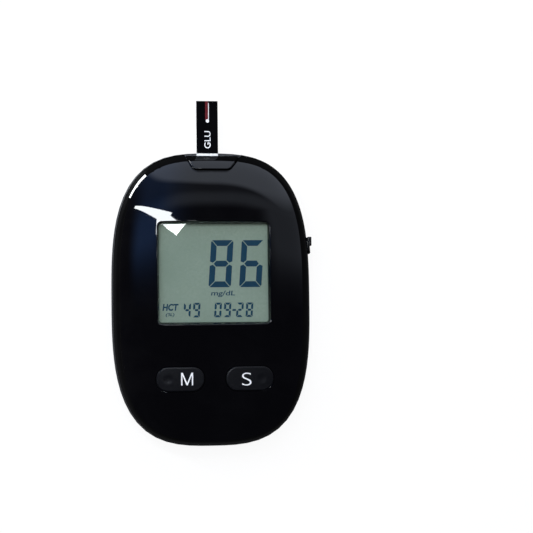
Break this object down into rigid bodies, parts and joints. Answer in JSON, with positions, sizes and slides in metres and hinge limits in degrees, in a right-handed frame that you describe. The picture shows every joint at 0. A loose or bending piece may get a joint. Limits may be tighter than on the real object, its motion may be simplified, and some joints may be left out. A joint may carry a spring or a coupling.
{
  "type": "blood glucose meter",
  "caption": "Pocket blood glucose meter with a segment display, pill-shaped keys, a side ejector slider and a test strip in its end port.",
  "frame": {"origin": "middle of the flat back, in the plane the meter lies on", "axes": "+Z out of the display, +Y towards the strip port, +X towards the ejector slider on the right flank"},
  "size_m": [0.0589, 0.101, 0.0199],
  "materials": {
    "cover_black": "glossy black moulded cover",
    "cover_grey": "satin dark grey moulded cover",
    "lens": "clear flat lens",
    "tape_black": "black foam tape",
    "insert_black": "glossy black insert",
    "key_grey": "satin charcoal key",
    "switch_black": "black switch plunger",
    "tin": "tinned steel",
    "frame_white": "white moulded frame",
    "polariser": "grey-green polarising film",
    "display_glass": "clear display glass",
    "reflector": "grey-green reflector",
    "zebra_rubber": "pink contact rubber",
    "board_green": "green circuit board",
    "chip_black": "black moulded package",
    "chip_tan": "tan ceramic parts",
    "connector_ivory": "ivory moulded connector",
    "contact_gold": "gold-plated springs",
    "slide_grey": "grey moulded slide",
    "spring_steel": "plain steel",
    "buzzer_brass": "brass disc",
    "ceramic_white": "ceramic disc",
    "cell_steel": "stainless steel can",
    "strip_white": "white carrier film",
    "strip_black": "black printed film",
    "track_carbon": "printed carbon tracks"
  },
  "bodies": {
    "case": {"front_cover": "cover_black", "back_cover": "cover_grey", "window_lens": "lens", "lens_tape": "tape_black", "port_insert": "insert_black", "switch_m_body": "tin", "switch_s_body": "tin", "lcd_frame": "frame_white", "lcd_front_film": "polariser", "lcd_front_glass": "display_glass", "lcd_rear_glass": "display_glass", "lcd_reflector": "reflector", "zebra_upper": "zebra_rubber", "zebra_lower": "zebra_rubber", "main_board": "board_green", "processor": "chip_black", "radio_module": "tin", "memory_chip": "chip_black", "crystal": "tin", "small_parts": "chip_tan", "strip_connector": "connector_ivory", "strip_contacts": "contact_gold", "buzzer_disc": "buzzer_brass", "buzzer_ceramic": "ceramic_white", "coin_cell_left": "cell_steel", "coin_cell_right": "cell_steel", "cell_contact_left": "spring_steel", "cell_contact_right": "spring_steel", "cell_bridge": "spring_steel", "case_screws": "spring_steel", "board_screws": "spring_steel"},
    "left_key": {"key_m": "key_grey", "switch_m_plunger": "switch_black"},
    "right_key": {"key_s": "key_grey", "switch_s_plunger": "switch_black"},
    "ejector": {"eject_knob": "key_grey", "eject_slide": "slide_grey", "eject_spring": "spring_steel"},
    "strip": {"strip_base": "strip_white", "strip_print": "strip_black", "strip_tracks": "track_carbon"},
    "door": {"battery_door": "cover_grey"}
  },
  "joints": [
    {"name": "key_m_press", "type": "slide", "parent": "case", "child": "left_key", "axis": [0, 0, -1], "range_m": [0, 0.0006], "stiffness_N_per_m": 400},
    {"name": "key_s_press", "type": "slide", "parent": "case", "child": "right_key", "axis": [0, 0, -1], "range_m": [0, 0.0006], "stiffness_N_per_m": 400},
    {"name": "ejector_push", "type": "slide", "parent": "case", "child": "ejector", "axis": [0, 1, 0], "range_m": [0, 0.0045], "stiffness_N_per_m": 60, "deforming": ["eject_spring"]},
    {"name": "strip_pull", "type": "slide", "parent": "ejector", "child": "strip", "axis": [0, 1, 0], "range_m": [0, 0.012]},
    {"name": "door_slide", "type": "slide", "parent": "case", "child": "door", "axis": [0, -1, 0], "range_m": [0, 0.034]}
  ]
}
